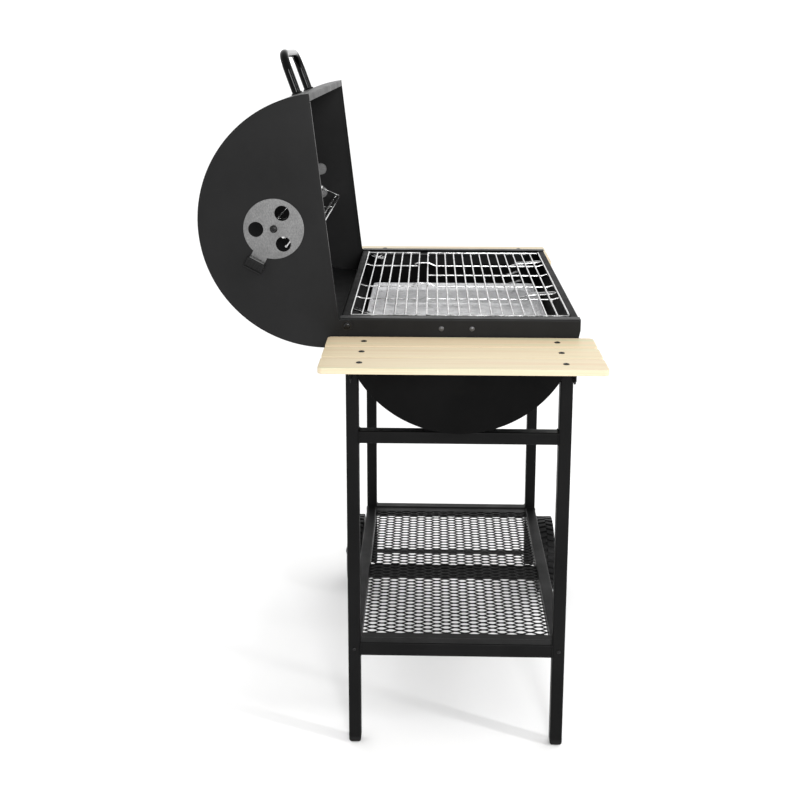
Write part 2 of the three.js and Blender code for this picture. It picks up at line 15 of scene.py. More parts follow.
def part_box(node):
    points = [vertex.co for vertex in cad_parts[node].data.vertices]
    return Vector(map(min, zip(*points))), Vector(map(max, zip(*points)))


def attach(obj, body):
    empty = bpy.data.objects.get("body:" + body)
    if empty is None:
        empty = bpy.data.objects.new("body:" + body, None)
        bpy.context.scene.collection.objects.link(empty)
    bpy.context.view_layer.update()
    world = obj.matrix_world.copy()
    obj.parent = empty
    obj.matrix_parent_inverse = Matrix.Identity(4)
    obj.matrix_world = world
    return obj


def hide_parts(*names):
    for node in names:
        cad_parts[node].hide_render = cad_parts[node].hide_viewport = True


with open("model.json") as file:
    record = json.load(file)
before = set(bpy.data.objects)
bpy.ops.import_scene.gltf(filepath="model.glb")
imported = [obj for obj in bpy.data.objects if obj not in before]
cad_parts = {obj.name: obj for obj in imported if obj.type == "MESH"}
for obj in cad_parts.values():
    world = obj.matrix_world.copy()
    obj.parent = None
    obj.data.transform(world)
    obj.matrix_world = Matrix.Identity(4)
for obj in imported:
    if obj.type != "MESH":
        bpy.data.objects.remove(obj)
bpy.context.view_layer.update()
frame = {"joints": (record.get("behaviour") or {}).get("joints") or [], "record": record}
RECORD = frame["record"]
JOINTS = {joint["name"]: joint for joint in frame["joints"]}
BODY_OF = {node: body for body, nodes in RECORD["behaviour"]["bodies"].items() for node in nodes}
MM = 0.001
ENDS = (("left", -1), ("right", 1))
SIDES = (("front", -1), ("back", 1))


# ------------ finishes


class Finish:
    """A material's node graph: textures in the piece's own coordinates, feeding one surface shader."""

    def __init__(self, name, **sockets):
        self.material = bpy.data.materials.new(name)
        self.material.use_nodes = True
        self.tree = self.material.node_tree
        self.surface = self.tree.nodes["Principled BSDF"]
        for socket, value in sockets.items():
            self.surface.inputs[socket.replace("_", " ")].default_value = value
        self.place = self.tree.nodes.new("ShaderNodeTexCoord").outputs["Object"]

    def node(self, kind, inputs=(), **settings):
        made = self.tree.nodes.new("ShaderNode" + kind)
        for name, value in settings.items():
            setattr(made, name, value)
        for name, value in dict(inputs).items():
            if isinstance(value, bpy.types.NodeSocket):
                self.tree.links.new(value, made.inputs[name])
            else:
                made.inputs[name].default_value = value
        return made

    def stretched(self, scale, shift=(0, 0, 0)):
        """The piece's coordinates, scaled along each axis."""
        inputs = {"Vector": self.place, "Scale": scale, "Location": shift}
        return self.node("Mapping", inputs).outputs["Vector"]

    def noise(self, scale, detail=3.0, roughness=0.55, place=None, distortion=0.0):
        inputs = {
            "Vector": place or self.place, "Scale": scale, "Detail": detail,
            "Roughness": roughness, "Distortion": distortion,
        }
        return self.node("TexNoise", inputs).outputs["Fac"]

    def cells(self, scale):
        """A colour of its own for each cell of a crystal pattern."""
        return self.node("TexVoronoi", {"Vector": self.place, "Scale": scale}).outputs["Color"]

    def ramp(self, fac, *stops):
        """Colours or greys at places along a factor: pairs of (place, colour)."""
        made = self.node("ValToRGB", {"Fac": fac})
        elements = made.color_ramp.elements
        while len(elements) < len(stops):
            elements.new(0.5)
        for element, (place, colour) in zip(elements, stops):
            element.position = place
            element.color = (*colour, 1) if isinstance(colour, tuple) else (colour, colour, colour, 1)
        return made.outputs["Color"]

    def mixed(self, fac, first, second, blend="MIX"):
        made = self.node("Mix", data_type="RGBA", blend_type=blend)
        for socket, value in ((made.inputs[0], fac), (made.inputs[6], first), (made.inputs[7], second)):
            if isinstance(value, bpy.types.NodeSocket):
                self.tree.links.new(value, socket)
            elif isinstance(value, tuple):
                socket.default_value = (*value, 1)
            else:
                socket.default_value = value
        return made.outputs[2]

    def feed(self, socket, value):
        self.tree.links.new(value, self.surface.inputs[socket])

    def bump(self, height, distance, strength=1.0):
        inputs = {"Height": height, "Distance": distance, "Strength": strength}
        normal = self.node("Bump", inputs).outputs["Normal"]
        self.tree.links.new(normal, self.surface.inputs["Normal"])


def paint(name, greys, rough, pebble, grain, specular=0.5, metallic=0.0):
    """Sprayed paint: slow variation in shade, dust, and a fine pebbled skin."""
    finish = Finish(name, Specular_IOR_Level=specular, Metallic=metallic)
    dark, light = ((grey, grey, grey * 1.03) for grey in greys)
    shade = finish.ramp(finish.noise(7, detail=4), (0.3, dark), (0.7, light))
    dust = finish.ramp(finish.noise(55, detail=6, roughness=0.7), (0.55, 0.0), (0.8, 0.35))
    finish.feed("Base Color", finish.mixed(dust, shade, tuple(1.35 * c for c in light)))
    finish.feed("Roughness", finish.ramp(finish.noise(24, detail=5), (0.3, rough[0]), (0.72, rough[1])))
    finish.bump(finish.noise(grain, detail=2), pebble, 0.6)
    return finish.material


def make_damper_steel():
    """Plated sheet: a fine grain, a little drawn out along the rolling, and a few handling marks."""
    finish = Finish("damper_steel", Metallic=1.0)
    grain = finish.noise(1, detail=5, roughness=0.75, place=finish.stretched((620, 620, 330)))
    broad = finish.noise(38, detail=4)
    grey = finish.ramp(grain, (0.3, 0.1), (0.7, 0.25))
    marks = finish.ramp(broad, (0.42, 0.0), (0.75, 0.6))
    finish.feed("Base Color", finish.mixed(marks, grey, (0.11, 0.11, 0.11)))
    finish.feed("Roughness", finish.ramp(grain, (0.2, 0.4), (0.8, 0.58)))
    finish.bump(grain, 0.00005, 0.5)
    return finish.material


def make_bright_steel():
    finish = Finish("bright_steel", Metallic=1.0)
    haze = finish.noise(160, detail=5, roughness=0.65)
    finish.feed("Base Color", finish.ramp(haze, (0.3, (0.5, 0.5, 0.5)), (0.7, (0.72, 0.72, 0.71))))
    finish.feed("Roughness", finish.ramp(haze, (0.3, 0.2), (0.75, 0.42)))
    finish.bump(haze, 0.00004, 0.4)
    return finish.material


def make_chrome():
    """Bright plated wire, faintly uneven."""
    finish = Finish("chrome_wire", Metallic=1.0)
    haze = finish.noise(90, detail=4, roughness=0.6)
    finish.feed("Base Color", finish.ramp(haze, (0.3, (0.2, 0.2, 0.2)), (0.65, (0.55, 0.55, 0.55))))
    finish.feed("Roughness", finish.ramp(haze, (0.3, 0.1), (0.75, 0.3)))
    finish.bump(finish.noise(700, detail=2), 0.00004, 0.4)
    return finish.material


def make_tray_zinc():
    """Galvanised sheet: spangles of differing brightness, specks and a few dark smudges."""
    finish = Finish("tray_zinc", Metallic=0.35)
    grey = finish.node("RGBToBW", {"Color": finish.cells(85)}).outputs["Val"]
    sheet = finish.ramp(grey, (0.0, (0.6, 0.6, 0.61)), (1.0, (0.9, 0.9, 0.91)))
    specks = finish.ramp(finish.noise(420, detail=2), (0.64, 0.0), (0.69, 0.75))
    blotches = finish.noise(26, detail=6, roughness=0.75, distortion=1.2)
    smudge = finish.ramp(blotches, (0.57, 0.0), (0.72, 0.85))
    speckled = finish.mixed(specks, sheet, (0.22, 0.22, 0.22))
    finish.feed("Base Color", finish.mixed(smudge, speckled, (0.1, 0.1, 0.1)))
    finish.feed("Roughness", finish.ramp(grey, (0.0, 0.34), (1.0, 0.55)))
    finish.bump(finish.noise(120, detail=4), 0.0002, 0.4)
    return finish.material


def make_pine(name, shift, tint):
    """Planed pine, grain along Y. shift picks the board out of the wood, tint leans its colour."""
    finish = Finish(name, Specular_IOR_Level=0.35)
    broad = finish.noise(1, detail=3, place=finish.stretched((34, 1.7, 34), shift), distortion=0.6)
    fine = finish.noise(1, detail=6, roughness=0.7, place=finish.stretched((520, 6, 520), shift))
    rings = finish.noise(1, detail=2, place=finish.stretched((150, 2.2, 150), shift), distortion=0.8)
    heart, cream, green = (tuple(a * b for a, b in zip(colour, tint))
                           for colour in ((0.6, 0.42, 0.31), (0.6, 0.5, 0.34), (0.5, 0.5, 0.33)))
    board = finish.ramp(broad, (0.3, green), (0.46, cream), (0.6, cream), (0.76, heart))
    ringed = finish.mixed(finish.ramp(rings, (0.52, 0.0), (0.68, 0.38)), board, (0.52, 0.36, 0.22))
    pores = finish.ramp(fine, (0.3, 0.35), (0.42, 0.0))
    finish.feed("Base Color", finish.mixed(pores, ringed, (0.4, 0.26, 0.14)))
    finish.feed("Roughness", finish.ramp(fine, (0.3, 0.62), (0.7, 0.45)))
    finish.bump(fine, 0.00012, 0.5)
    return finish.material


FINISHES = {
    "body_black": paint("body_black", (0.004, 0.008), (0.38, 0.5), 0.00012, 1300, 0.15),
    "frame_black": paint("frame_black", (0.002, 0.0045), (0.38, 0.54), 0.00012, 900, 0.09),
    "handle_black": paint("handle_black", (0.0006, 0.0014), (0.03, 0.08), 0.00004, 300, 0.1),
    "plastic_black": paint("plastic_black", (0.0025, 0.006), (0.42, 0.6), 0.0002, 1500, 0.16),
    "bolt_black": paint("bolt_black", (0.0025, 0.006), (0.22, 0.4), 0.00006, 600, 0.3),
    "damper_steel": make_damper_steel(),
    "bright_steel": make_bright_steel(),
    "chrome_wire": make_chrome(),
    "tray_zinc": make_tray_zinc(),
}
# Painted shade: a darker, less glossy copy of body_black, the same paint as the lid, so the bowl's shell
# and end plates read as shaded under the side shelves.
BOWL_BLACK_PAINTED_SHADE = paint("bowl_black_painted_shade", (0.0015, 0.0035), (0.5, 0.64), 0.00014, 1300, 0.05)
RIVET_GREY = paint("rivet_grey", (0.06, 0.1), (0.35, 0.5), 0.00005, 900, metallic=0.6)
SCREW_BLACK = paint("screw_black", (0.002, 0.006), (0.3, 0.5), 0.00008, 900, 0.15)


# ------------ outlines


def arc(centre, radius, start, stop, steps):
    """Points of an arc in degrees, both ends included."""
    angles = [math.radians(start + (stop - start) * i / steps) for i in range(steps + 1)]
    return [(centre[0] + radius * math.cos(a), centre[1] + radius * math.sin(a)) for a in angles]


def circle(radius, centre=(0, 0), steps=48):
    return arc(centre, radius, 0, 360, steps)[:-1]


def round_rectangle(width, height, radius, centre=(0, 0), steps=5):
    x, y = width / 2 - radius, height / 2 - radius
    corners = ((x, -y, -90), (x, y, 0), (-x, y, 90), (-x, -y, 180))
    outline = []
    for cx, cy, start in corners:
        outline += arc((centre[0] + cx, centre[1] + cy), radius, start, start + 90, steps)
    return outline


def softened(points, radius, steps=4):
    """A path, flat or in space, with its corners turned into short curves."""
    points = [Vector(p) for p in points]
    out = [points[0]]
    for earlier, corner, later in zip(points, points[1:], points[2:]):
        before, after = earlier - corner, later - corner
        reach = min(radius, 0.48 * before.length, 0.48 * after.length)
        start, stop = corner + before.normalized() * reach, corner + after.normalized() * reach
        for k in range(steps + 1):
            t = k / steps
            out.append(start * (1 - t) ** 2 + corner * 2 * t * (1 - t) + stop * t**2)
    return [*out, points[-1]]


def shifted_left(loop, distance, closed=True):
    """A flat path moved to its own left, which is inwards for an anticlockwise outline."""
    points = [Vector((p[0], p[1])) for p in loop]
    count = len(points)
    moved = []
    for i, point in enumerate(points):
        before = point - points[i - 1] if closed or i > 0 else points[1] - point
        after = points[(i + 1) % count] - point if closed or i < count - 1 else point - points[i - 1]
        if before.length < 1e-9:
            before = after
        if after.length < 1e-9:
            after = before
        first = Vector((-before.y, before.x)).normalized()
        second = Vector((-after.y, after.x)).normalized()
        middle = first + second
        if middle.length < 0.3:
            middle = first
        moved.append(point + middle * (distance / max(middle.dot(first), 0.3)))
    return moved


def strip(centreline, thickness):
    """The outline of a sheet whose middle follows a flat path."""
    left = shifted_left(centreline, thickness / 2, closed=False)
    right = shifted_left(centreline, -thickness / 2, closed=False)
    return right + left[::-1]


def bent_angle(edge, face, top, bottom, side, bend, sheet, steps=4):
    """The outline of a bent sheet: level from its edge to its outer face, then down to the bottom."""
    level, upright = top - sheet / 2, face - side * sheet / 2
    return strip(softened([(edge, level), (upright, level), (upright, bottom)], bend, steps), sheet)


def area_of(loop):
    return sum(a[0] * b[1] - b[0] * a[1] for a, b in zip(loop, [*loop[1:], loop[0]])) / 2


def along_x(u, v, w):
    return Vector((w, u, v))


def along_y(u, v, w):
    return Vector((u, w, v))


def along_z(u, v, w):
    return Vector((u, v, w))


# ------------ solids


class Shape:
    """The points and faces of one piece while it is being built."""

    def __init__(self):
        self.points = []
        self.faces = []

    def add(self, points, faces):
        base = len(self.points)
        self.points += [Vector(p) for p in points]
        self.faces += [[base + i for i in face] for face in faces]
        return self

    def loft(self, rings, closed=False):
        """A skin over rings of points, closed on itself or capped at both ends."""
        size, count = len(rings[0]), len(rings)
        faces = []
        for i in range(count if closed else count - 1):
            here, there = i * size, (i + 1) % count * size
            for k in range(size):
                after = (k + 1) % size
                faces.append([here + k, here + after, there + after, there + k])
        if not closed:
            faces.append(list(range(size))[::-1])
            faces.append(list(range((count - 1) * size, count * size)))
        return self.add([p for ring in rings for p in ring], faces)

    def slab(self, outline, place, low, high, holes=(), edge=0.3 * MM):
        """An outline with holes drawn out from low to high, its rims rounded."""
        loops = [outline if area_of(outline) > 0 else outline[::-1]]
        loops += [hole if area_of(hole) < 0 else hole[::-1] for hole in holes]
        levels = [(low, edge), (low + 0.3 * edge, 0.3 * edge), (low + edge, 0)]
        levels += [(high - edge, 0), (high - 0.3 * edge, 0.3 * edge), (high, edge)]
        faces, points, caps = [], [], ([], [])
        for loop in loops:
            size = len(loop)
            for step, (height, inset) in enumerate(levels):
                start = len(points)
                ring = shifted_left(loop, inset)
                points += [place(p.x, p.y, height) for p in ring]
                if step in (0, len(levels) - 1):
                    caps[step > 0].append((start, ring))
                if step:
                    below = start - size
                    for k in range(size):
                        after = (k + 1) % size
                        faces.append([below + k, below + after, start + after, start + k])
        for cap in caps:
            index = [start + k for start, ring in cap for k in range(len(ring))]
            flat = [[Vector((p.x, p.y, 0)) for p in ring] for _, ring in cap]
            faces += [[index[k] for k in triangle] for triangle in tessellate_polygon(flat)]
        return self.add(points, faces)

    def sweep(self, path, section, closed=False):
        """A flat section carried along a path in space without twisting."""
        path = [Vector(p) for p in path]
        count = len(path)
        tangents = []
        for i in range(count):
            before = path[i - 1] if closed or i else path[0]
            after = path[(i + 1) % count] if closed or i < count - 1 else path[-1]
            tangents.append((after - before).normalized())
        side = tangents[0].orthogonal().normalized()
        rings = []
        for point, tangent in zip(path, tangents):
            side = (side - tangent * side.dot(tangent)).normalized()
            up = tangent.cross(side)
            rings.append([point + side * u + up * v for u, v in section])
        return self.loft(rings, closed)

    def wire(self, path, radius, sides=10, closed=False):
        return self.sweep(path, circle(radius, steps=sides), closed)

    def lathe(self, profile, centre, direction, steps=32):
        """A profile of (radius, distance) pairs turned about a direction from a centre."""
        direction = Vector(direction).normalized()
        side = direction.orthogonal().normalized()
        up = direction.cross(side)
        rings = []
        for radius, along in profile:
            radius = max(radius, 0.02 * MM)
            rings.append([
                Vector(centre) + direction * along + side * radius * u + up * radius * v
                for u, v in circle(1, steps=steps)
            ])
        hollow = profile[0] == profile[-1]
        return self.loft(rings[:-1] if hollow else rings, closed=hollow)


def piece(name, shape, slot, *nodes, body=None, material=None, sharp=35):
    """Makes a smooth-shaded piece that stands for its CAD nodes and rides on their body."""
    mesh = bpy.data.meshes.new(name)
    mesh.from_pydata([tuple(p) for p in shape.points], [], shape.faces)
    build = bmesh.new()
    build.from_mesh(mesh)
    bmesh.ops.remove_doubles(build, verts=build.verts, dist=0.001 * MM)
    bmesh.ops.recalc_face_normals(build, faces=build.faces)
    for face in build.faces:
        face.smooth = True
    build.to_mesh(mesh)
    build.free()
    mesh.set_sharp_from_angle(angle=math.radians(sharp))
    mesh.materials.append(material or FINISHES[slot])
    made = bpy.data.objects.new(name, mesh)
    made.modifiers.new("Flat faces", "WEIGHTED_NORMAL").keep_sharp = True
    bpy.context.scene.collection.objects.link(made)
    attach(made, body or BODY_OF[nodes[0]])
    if nodes:
        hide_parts(*nodes)
    return made


# ------------ sizes read from the frame

bowl_low, bowl_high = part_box("bowl_shell")
AXIS_Y = (bowl_low.y + bowl_high.y) / 2
BOWL_R = (bowl_high.y - bowl_low.y) / 2
BOWL_TOP = bowl_high.z
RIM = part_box("rim_band_left")[1].z

HINGE = Vector(JOINTS["lid_hinge"]["pos_m"])
OPEN = math.radians(JOINTS["lid_hinge"]["range_deg"][1])
lid_low, lid_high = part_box("lid_shell")
LID_R = (lid_high.z - lid_low.z) / (1 + math.sin(OPEN))
LID_CENTRE = Vector((0, lid_high.y - LID_R, lid_low.z + LID_R))
LID_LIP = 12 * MM
ARC_STEPS = 96
SHEET = 1.5 * MM
BOLT_HOLE_R = 3.3 * MM


def in_lid(u, v, w):
    """A point of the open lid: u and v are back and up in the closed lid, w is along the barrel."""
    back = u * math.cos(OPEN) + v * math.sin(OPEN)
    up = -u * math.sin(OPEN) + v * math.cos(OPEN)
    return Vector((w, LID_CENTRE.y + back, LID_CENTRE.z + up))


def to_lid(point):
    """The (u, v) of a point of the open lid."""
    back, up = point[1] - LID_CENTRE.y, point[2] - LID_CENTRE.z
    return back * math.cos(OPEN) - up * math.sin(OPEN), back * math.sin(OPEN) + up * math.cos(OPEN)


def span(node, end):
    """The inner and outer x of a node at one end of the barrel: end is -1 or 1."""
    low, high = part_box(node)
    return (low.x, high.x) if end > 0 else (high.x, low.x)


# ------------ bolts, rivets and welds


def bolt_head(radius, height):
    """A pan head with a socket, as a profile of (radius, distance)."""
    return [
        (0.36 * radius, 0.45 * height), (0.4 * radius, height), (0.62 * radius, 0.97 * height),
        (0.85 * radius, 0.7 * height), (radius, 0.3 * height), (radius, 0.0),
    ]


def through_bolt(start, end, length, head, nut):
    """A bolt along X from its free end, with a nut near it.

    The head is given as (radius, height) and the nut as (flat's radius, radius, height).
    """
    axis = (end, 0, 0)
    core, shank_r, shank_length = 0.1 * MM, 3 * MM, length - 3 * MM
    flat_r, nut_r, nut_height = nut
    low, chamfer = 1 * MM, 0.6 * MM
    high = low + nut_height
    bolt = Shape().lathe(bolt_head(*head), Vector(start) + Vector(axis) * (length - head[1]), axis, 28)
    bolt.lathe([(core, 0), (shank_r, 0), (shank_r, shank_length), (core, shank_length)], start, axis, 20)
    return bolt.lathe([(core, low), (flat_r, low), (nut_r, low + chamfer), (nut_r, high - chamfer),
                       (flat_r, high), (core, high)], start, axis, 6)


def rivet_head(radius, height):
    return [(radius * math.sin(a), height * math.cos(a)) for a in (0.05, 0.4, 0.8, 1.2, math.pi / 2)]


def weld(shape, outline, place, along, bead=1.5 * MM):
    """A bead of weld round a tube's end."""
    path = [place(u, v, along) for u, v in outline]
    shape.wire(path, bead, sides=8, closed=True)


# ------------ bowl


def half_tube(radius, sign, fold, thickness):
    """The outline of a half tube of sheet with folded-in edges, its flat side at v = 0."""
    middle = radius - thickness / 2
    lip = sign * thickness / 2
    path = [(-radius + fold, lip), (-middle, lip)]
    path += [(-middle * math.cos(a), sign * middle * math.sin(a))
             for a in (math.pi * (0.02 + 0.96 * i / ARC_STEPS) for i in range(ARC_STEPS + 1))]
    path += [(middle, lip), (radius - fold, lip)]
    start, stop = path[:3], path[-3:]
    bent = softened(start, 2.5 * MM, 4)[:-1] + [Vector(p) for p in path[2:-2]]
    return strip(bent + softened(stop, 2.5 * MM, 4)[1:], thickness)


def make_bowl():
    """A half tube of sheet between two end plates, and what is fixed to them."""

    def in_bowl(u, v, w):
        return Vector((w, AXIS_Y + u, BOWL_TOP + v))

    # The bowl's shell and end plates wear the painted-shade copy of the lid's black paint, darker than the
    # lid.
    outline = half_tube(BOWL_R, -1, 12.5 * MM, SHEET)
    shell = Shape().slab(outline, in_bowl, bowl_low.x, bowl_high.x)
    piece("bowl_shell_fine", shell, "body_black", "bowl_shell", material=BOWL_BLACK_PAINTED_SHADE)
    for name, end in ENDS:
        low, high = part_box(f"bowl_end_{name}")
        half_disc = arc((AXIS_Y, BOWL_TOP), BOWL_R, 180, 360, ARC_STEPS)
        bolt_hole = circle(BOLT_HOLE_R, (HINGE.y, HINGE.z), 20)
        plate = Shape().slab(half_disc, along_x, low.x, high.x, [bolt_hole], 0.5 * MM)
        piece(f"bowl_end_{name}_fine", plate, "body_black", f"bowl_end_{name}", material=BOWL_BLACK_PAINTED_SHADE)
        make_rim_band(name, end)
        make_hinge_bolt(name, end)
        make_grate_support(name, end)


def make_rim_band(name, end):
    """An angle strip across the bowl's end: a tapered leaf outside and a flange on top."""
    low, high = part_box(f"rim_band_{name}")
    inner, outer = span(f"rim_band_{name}", end)
    straight, taper = 18 * MM, 9 * MM
    height, width = high.z - low.z, high.y - low.y
    rings = []
    stations = ((0, straight), (0.6 * MM, straight + 3 * MM), (taper, height), (0.5 * width, height))
    stations += tuple((width - y, h) for y, h in stations[-2::-1])
    for y, depth in stations:
        section = bent_angle(inner, outer, high.z, high.z - depth, end, 2.6 * MM, SHEET, 5)
        rings.append([along_y(u, v, low.y + y) for u, v in section])
    piece(f"rim_band_{name}_fine", Shape().loft(rings), "body_black", f"rim_band_{name}")
    rivets = Shape()
    for y in (-20 * MM, 31 * MM):
        place = Vector((outer, AXIS_Y + y, RIM - 17 * MM))
        rivets.lathe(rivet_head(4.4 * MM, 1.7 * MM), place, (end, 0, 0), 24)
    piece(f"band_rivets_{name}", rivets, "bolt_black", body="stand", material=RIVET_GREY)


def make_hinge_bolt(name, end):
    """A bolt and nut through the bowl's and the lid's end plates, with a washer under its head."""
    inside, outside = span(f"hinge_bolt_{name}", end)
    head, nut = (6 * MM, 3.8 * MM), (4.6 * MM, 5.4 * MM, 4 * MM)
    bolt = through_bolt((inside, HINGE.y, HINGE.z), end, abs(outside - inside), head, nut)
    washer = [(7.6 * MM, 0), (7.6 * MM, 0.8 * MM), (3 * MM, 0.8 * MM), (3 * MM, 0), (7.6 * MM, 0)]
    bolt.lathe(washer, (outside - end * (head[1] + 0.3 * MM), HINGE.y, HINGE.z), (end, 0, 0), 28)
    piece(f"hinge_bolt_{name}_fine", bolt, "bolt_black", f"hinge_bolt_{name}")


def make_grate_support(name, end):
    """An angle inside the bowl's end, its level leaf under the grates."""
    low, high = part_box(f"grate_support_{name}")
    inner, outer = span(f"grate_support_{name}", end)
    section = bent_angle(inner, outer, high.z, low.z, end, 2.4 * MM, SHEET)
    piece(f"grate_support_{name}_fine", Shape().slab(section, along_y, low.y, high.y), "body_black",
          f"grate_support_{name}")


# ------------ lid


def make_lid():
    """A half tube of sheet between two end plates, with a damper on each of them."""
    outline = half_tube(LID_R, 1, LID_LIP, SHEET)
    shell = Shape().slab(outline, in_lid, lid_low.x, lid_high.x)
    piece("lid_shell_fine", shell, "body_black", "lid_shell")
    vent_v = (Vector(JOINTS["damper_left_turn"]["pos_m"]) - LID_CENTRE).yz.length
    pivot = to_lid(HINGE)
    for name, end in ENDS:
        make_lid_end(name, end, pivot, vent_v)
        make_damper(name, end, vent_v)


def vent_holes(centre, turned=0):
    """Three round holes about a centre, a little askew, and turned further with a damper."""
    vent_r, ring_r = 12.5 * MM, 29.5 * MM
    holes = []
    for degrees in (95, 215, 335):
        angle = math.radians(degrees + turned)
        place = (centre[0] + ring_r * math.cos(angle), centre[1] + ring_r * math.sin(angle))
        holes.append(circle(vent_r, place, 36))
    return holes


def make_lid_end(name, end, pivot, vent_v):
    """An end plate with holes and a hinge ear, and a lip folded in along its straight edge."""
    _, outer = span(f"lid_end_{name}", end)
    inner = outer - end * 1.2 * MM
    ear_r = 10 * MM
    outline = arc((0, 0), LID_R, 0, 180, ARC_STEPS)
    outline += softened([(-LID_R, 0), (pivot[0] - ear_r, 0), (pivot[0] - ear_r, pivot[1])], 4 * MM, 4)[1:]
    outline += arc(pivot, ear_r, 180, 360, 16)[1:]
    holes = [circle(BOLT_HOLE_R, place, 20) for place in (pivot, (0, vent_v))] + vent_holes((0, vent_v))
    plate = Shape().slab(outline, in_lid, *sorted((inner, outer)), holes, 0.4 * MM)
    front, back = -LID_R + LID_LIP + 1 * MM, pivot[0] - ear_r - 6 * MM
    lip = round_rectangle(back - front, 1.2 * MM, 0.4 * MM, ((front + back) / 2, 0.6 * MM), 2)
    plate.slab(lip, in_lid, *sorted((inner - end * 6 * MM, inner + end * 0.5 * MM)))
    piece(f"lid_end_{name}_fine", plate, "body_black", f"lid_end_{name}")


def make_damper(name, end, vent_v):
    """A round slide with three holes, a folded tab and a grip on it, turning on a bolt.

    The left one stands open and the right one shut.
    """
    face, _ = span(f"damper_{name}", end)
    thick = 1.0 * MM
    radius, tab_half = 50 * MM, 13 * MM
    centre = (0, vent_v)
    turned = -60 if end > 0 else 0
    tab_angle = math.radians(35 + turned)
    tab_spread = math.degrees(math.asin(tab_half / radius))
    rim = arc(centre, radius, 35 + turned + tab_spread, 395 + turned - tab_spread, 120)
    along, across = (math.cos(tab_angle), math.sin(tab_angle)), (-math.sin(tab_angle), math.cos(tab_angle))

    def tab_point(reach, side):
        return tuple(c + a * reach + b * side for c, a, b in zip(centre, along, across))

    outline = rim + [tab_point(radius + 8 * MM, -tab_half), tab_point(radius + 8 * MM, tab_half)]
    holes = [circle(BOLT_HOLE_R, centre, 20), *vent_holes(centre, turned)]
    disc = Shape().slab(outline, in_lid, *sorted((face, face + end * thick)), holes, 0.3 * MM)

    def fold_place(u, v, w):
        u_lid, v_lid = tab_point(u, w)
        return in_lid(u_lid, v_lid, face + end * v)

    fold_r = radius + 8.3 * MM
    path = [(radius + 6.5 * MM, thick / 2), (fold_r, thick / 2), (fold_r, 9 * MM)]
    disc.slab(strip(softened(path, 1.4 * MM), thick), fold_place, -tab_half, tab_half, edge=0.25 * MM)
    piece(f"damper_{name}_fine", disc, "damper_steel", f"damper_{name}")

    grip = Shape()
    grip_low, grip_high = radius + 9.3 * MM, radius + 25 * MM
    middle = (grip_low + grip_high) / 2
    body = round_rectangle(grip_high - grip_low, 9 * MM, 1.6 * MM, (middle, 6.5 * MM), 4)
    grip.slab(body, fold_place, -16 * MM, 16 * MM, edge=1.2 * MM)
    for side in (-9, 0, 9):
        rib = round_rectangle(11 * MM, 2.4 * MM, 1.1 * MM, (middle + 1 * MM, 11 * MM), 4)
        grip.slab(rib, fold_place, (side - 1.6) * MM, (side + 1.6) * MM, edge=0.6 * MM)
    lip = round_rectangle(3 * MM, 12 * MM, 1.2 * MM, (grip_high + 0.6 * MM, 7.2 * MM), 4)
    grip.slab(lip, fold_place, -16 * MM, 16 * MM, edge=1 * MM)
    piece(f"damper_grip_{name}_fine", grip, "plastic_black", f"damper_grip_{name}")

    inside, outside = span(f"damper_bolt_{name}", end)
    head, nut = (6.3 * MM, 4 * MM), (4.4 * MM, 5 * MM, 4.6 * MM)
    bolt = through_bolt(in_lid(*centre, inside), end, abs(outside - inside), head, nut)
    piece(f"damper_bolt_{name}_fine", bolt, "bolt_black", f"damper_bolt_{name}")


def make_handle():
    """A bent tube with a pressed foot at each end, welded to the lid's skin."""
    low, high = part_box("lid_handle")
    tube_r = 8 * MM
    half = (high.x - low.x) / 2 - tube_r
    angle = math.radians(180 - 13)
    outward = Vector((0, *(in_lid(math.cos(angle), math.sin(angle), 0) - LID_CENTRE).yz))
    top = (high.z - LID_CENTRE.z - tube_r) / outward.z
    skin = LID_R + 0.5 * MM
    corners = [(-half, skin), (-half, top), (half, top), (half, skin)]
    path = [LID_CENTRE + outward * reach + Vector((x, 0, 0)) for x, reach in corners]
    bend = softened(path, 34 * MM, 14)
    shape = Shape().sweep(bend, circle(tube_r, steps=28))
    for x in (-half, half):
        foot = LID_CENTRE + outward * (LID_R - 0.6 * MM) + Vector((x, 0, 0))
        shape.lathe([(tube_r, 4 * MM), (9.2 * MM, 3.4 * MM), (10.4 * MM, 1.6 * MM), (11 * MM, 0),
                     (tube_r, 0), (tube_r, 4 * MM)], foot, outward, 36)
    piece("lid_handle_fine", shape, "handle_black", "lid_handle", sharp=60)


# ------------ wires


GRATE_LIFT = 3 * MM
CROSS_R = 1.3 * MM


def make_grate(node, outer):
    """Wires along the barrel between two end wires, raised at the outer side: outer is -1 or 1."""
    low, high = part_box(node)
    wire_r, pitch, edge = 1.5 * MM, 18.43 * MM, 6 * MM
    depth = high.y - low.y - 2 * wire_r
    count = round(depth / pitch)
    rows = [low.y + wire_r + depth * i / count for i in range(count + 1)]
    top = high.z - wire_r
    left, right = low.x + wire_r, high.x - wire_r
    shape = Shape()
    for y in rows:
        z = top + (GRATE_LIFT if y == (rows[0] if outer < 0 else rows[-1]) else 0)
        path = [(left, y, top), (left + edge, y, z), (right - edge, y, z), (right, y, top)]
        shape.wire(softened(path, 4 * MM, 3), wire_r)
    for x in (left, right):
        shape.wire([(x, rows[0], top), (x, rows[-1], top)], wire_r)
    return shape, rows, top


